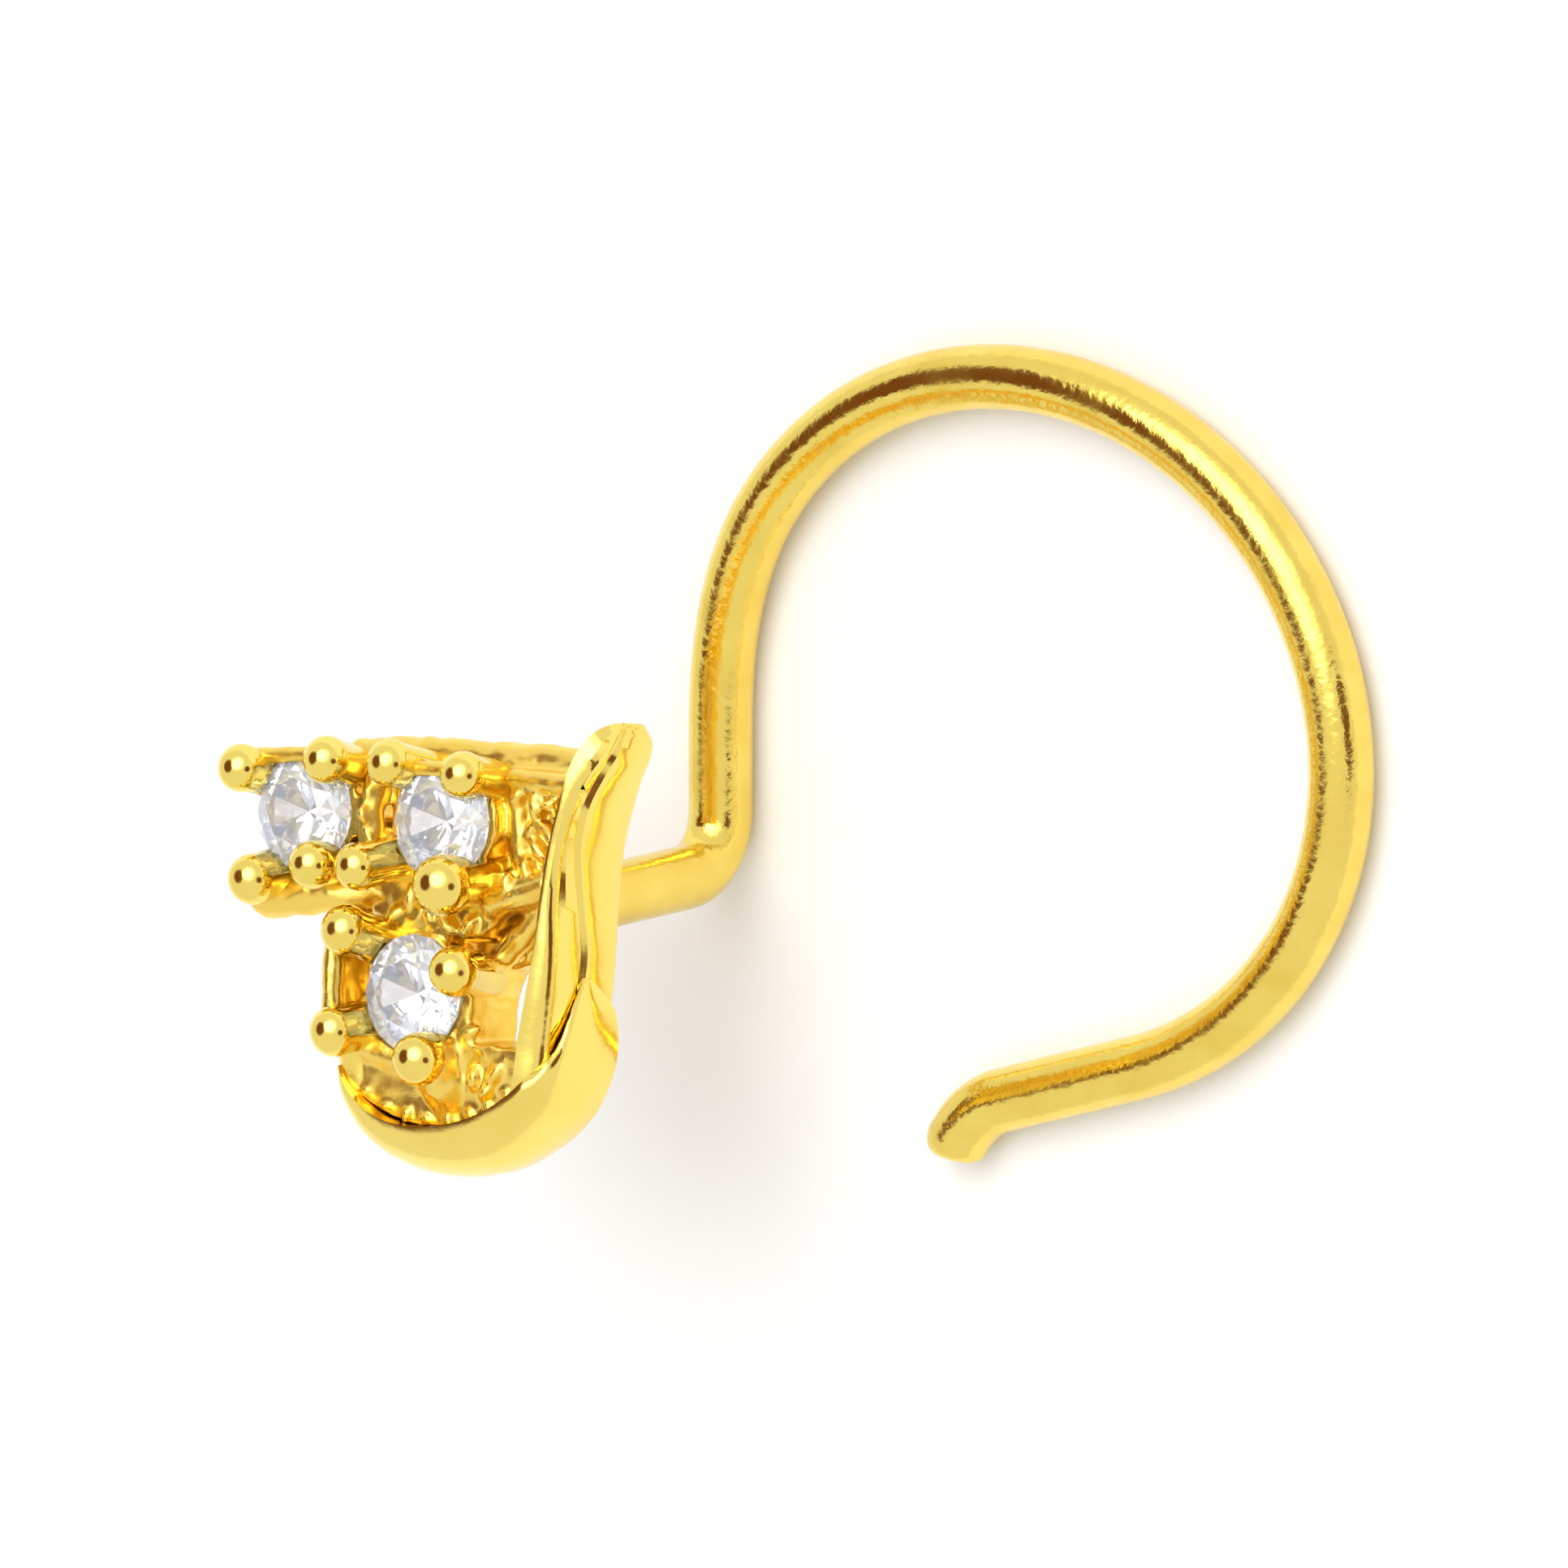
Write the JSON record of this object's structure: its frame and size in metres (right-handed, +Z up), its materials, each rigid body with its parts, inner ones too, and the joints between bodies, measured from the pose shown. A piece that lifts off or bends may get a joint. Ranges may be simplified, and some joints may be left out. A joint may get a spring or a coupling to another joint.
{
  "type": "nose pin",
  "caption": "Gold nose pin: a J-shaped leaf holding claw-set round stones, on a straight post that turns into a large open wire loop.",
  "frame": {"origin": "on the floor, under the middle of the part's own box, as the pin lies on its loop", "axes": "+Z up, along the post from the loop to the head; +X from the head's side across the loop; +Y towards the top of the loop as worn in the picture"},
  "size_m": [0.0132, 0.0104, 0.0069],
  "materials": {
    "yellow_gold": "polished yellow gold",
    "clear_stone": "faceted clear stone"
  },
  "bodies": {
    "root": {"gold_body": "yellow_gold", "stone_left": "clear_stone", "stone_upper": "clear_stone", "stone_lower": "clear_stone"}
  },
  "joints": []
}
